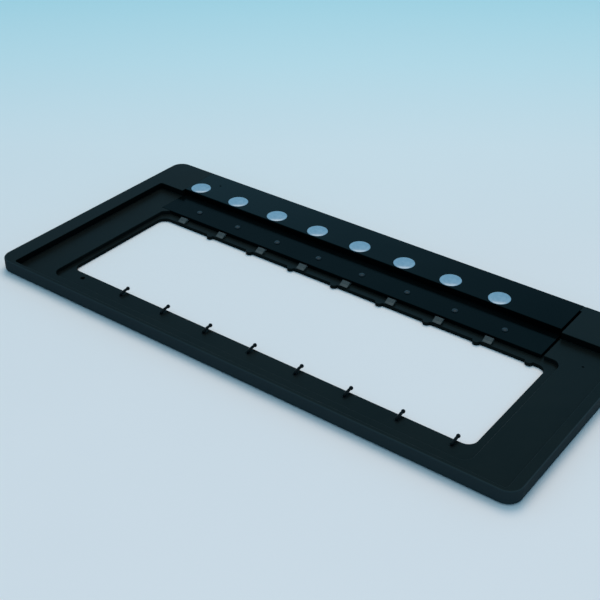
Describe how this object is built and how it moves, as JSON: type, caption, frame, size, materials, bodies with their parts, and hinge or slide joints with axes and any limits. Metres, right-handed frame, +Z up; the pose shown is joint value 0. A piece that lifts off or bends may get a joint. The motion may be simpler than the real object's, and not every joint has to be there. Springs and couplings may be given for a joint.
{
  "type": "film negative carrier",
  "caption": "Flat black tray with a long rectangular window and a hinged clamp bar whose spring clips hold a row of narrow film pieces over the light.",
  "frame": {"origin": "middle of the tray's underside, on the surface it rests on", "axes": "+X along the tray's long side, +Y across it towards the hinged clamp bar, +Z up"},
  "size_m": [0.301, 0.1416, 0.0082],
  "materials": {
    "frame_black": "moulded black plastic with a fine even texture and a faint satin sheen",
    "bar_black": "moulded black plastic, slightly smoother than the tray",
    "rivet_black": "blackened steel rivet heads with a dull shine",
    "peg_black": "black coated spring wire with ball tips",
    "pin_steel": "plain ground steel pins",
    "magnet_nickel": "bright nickel plating with fine circular marks",
    "keeper_steel": "zinc plated steel discs",
    "leaf_steel": "rolled spring steel strip",
    "shoe_grey": "grey moulded nylon with fine draw lines"
  },
  "bodies": {
    "tray": {"frame": "frame_black", "separator_pegs": "peg_black", "hinge_pin_left": "pin_steel", "hinge_pin_right": "pin_steel", "keeper_1": "keeper_steel", "keeper_2": "keeper_steel", "keeper_3": "keeper_steel", "keeper_4": "keeper_steel", "keeper_5": "keeper_steel", "keeper_6": "keeper_steel", "keeper_7": "keeper_steel", "keeper_8": "keeper_steel"},
    "bar": {"clamp_bar": "bar_black", "clip_rivets": "rivet_black", "magnet_1": "magnet_nickel", "magnet_2": "magnet_nickel", "magnet_3": "magnet_nickel", "magnet_4": "magnet_nickel", "magnet_5": "magnet_nickel", "magnet_6": "magnet_nickel", "magnet_7": "magnet_nickel", "magnet_8": "magnet_nickel"},
    "clip_1": {"clip_leaf_1": "leaf_steel", "clip_shoe_1": "shoe_grey"},
    "clip_2": {"clip_leaf_2": "leaf_steel", "clip_shoe_2": "shoe_grey"},
    "clip_3": {"clip_leaf_3": "leaf_steel", "clip_shoe_3": "shoe_grey"},
    "clip_4": {"clip_leaf_4": "leaf_steel", "clip_shoe_4": "shoe_grey"},
    "clip_5": {"clip_leaf_5": "leaf_steel", "clip_shoe_5": "shoe_grey"},
    "clip_6": {"clip_leaf_6": "leaf_steel", "clip_shoe_6": "shoe_grey"},
    "clip_7": {"clip_leaf_7": "leaf_steel", "clip_shoe_7": "shoe_grey"},
    "clip_8": {"clip_leaf_8": "leaf_steel", "clip_shoe_8": "shoe_grey"}
  },
  "joints": [
    {"name": "bar_hinge", "type": "hinge", "parent": "tray", "child": "bar", "pos_m": [0, 0.0683, 0.0045], "axis": [-1, 0, 0], "range_deg": [0, 90]},
    {"name": "clip_1_flex", "type": "hinge", "parent": "bar", "child": "clip_1", "pos_m": [-0.1055, 0.0334, 0.0027], "axis": [-1, 0, 0], "range_deg": [0, 4], "stiffness_Nm_per_rad": 0.05},
    {"name": "clip_2_flex", "type": "hinge", "parent": "bar", "child": "clip_2", "pos_m": [-0.07795, 0.0334, 0.0027], "axis": [-1, 0, 0], "range_deg": [0, 4], "stiffness_Nm_per_rad": 0.05},
    {"name": "clip_3_flex", "type": "hinge", "parent": "bar", "child": "clip_3", "pos_m": [-0.0504, 0.0334, 0.0027], "axis": [-1, 0, 0], "range_deg": [0, 4], "stiffness_Nm_per_rad": 0.05},
    {"name": "clip_4_flex", "type": "hinge", "parent": "bar", "child": "clip_4", "pos_m": [-0.02285, 0.0334, 0.0027], "axis": [-1, 0, 0], "range_deg": [0, 4], "stiffness_Nm_per_rad": 0.05},
    {"name": "clip_5_flex", "type": "hinge", "parent": "bar", "child": "clip_5", "pos_m": [0.0047, 0.0334, 0.0027], "axis": [-1, 0, 0], "range_deg": [0, 4], "stiffness_Nm_per_rad": 0.05},
    {"name": "clip_6_flex", "type": "hinge", "parent": "bar", "child": "clip_6", "pos_m": [0.03225, 0.0334, 0.0027], "axis": [-1, 0, 0], "range_deg": [0, 4], "stiffness_Nm_per_rad": 0.05},
    {"name": "clip_7_flex", "type": "hinge", "parent": "bar", "child": "clip_7", "pos_m": [0.0598, 0.0334, 0.0027], "axis": [-1, 0, 0], "range_deg": [0, 4], "stiffness_Nm_per_rad": 0.05},
    {"name": "clip_8_flex", "type": "hinge", "parent": "bar", "child": "clip_8", "pos_m": [0.08735, 0.0334, 0.0027], "axis": [-1, 0, 0], "range_deg": [0, 4], "stiffness_Nm_per_rad": 0.05}
  ]
}
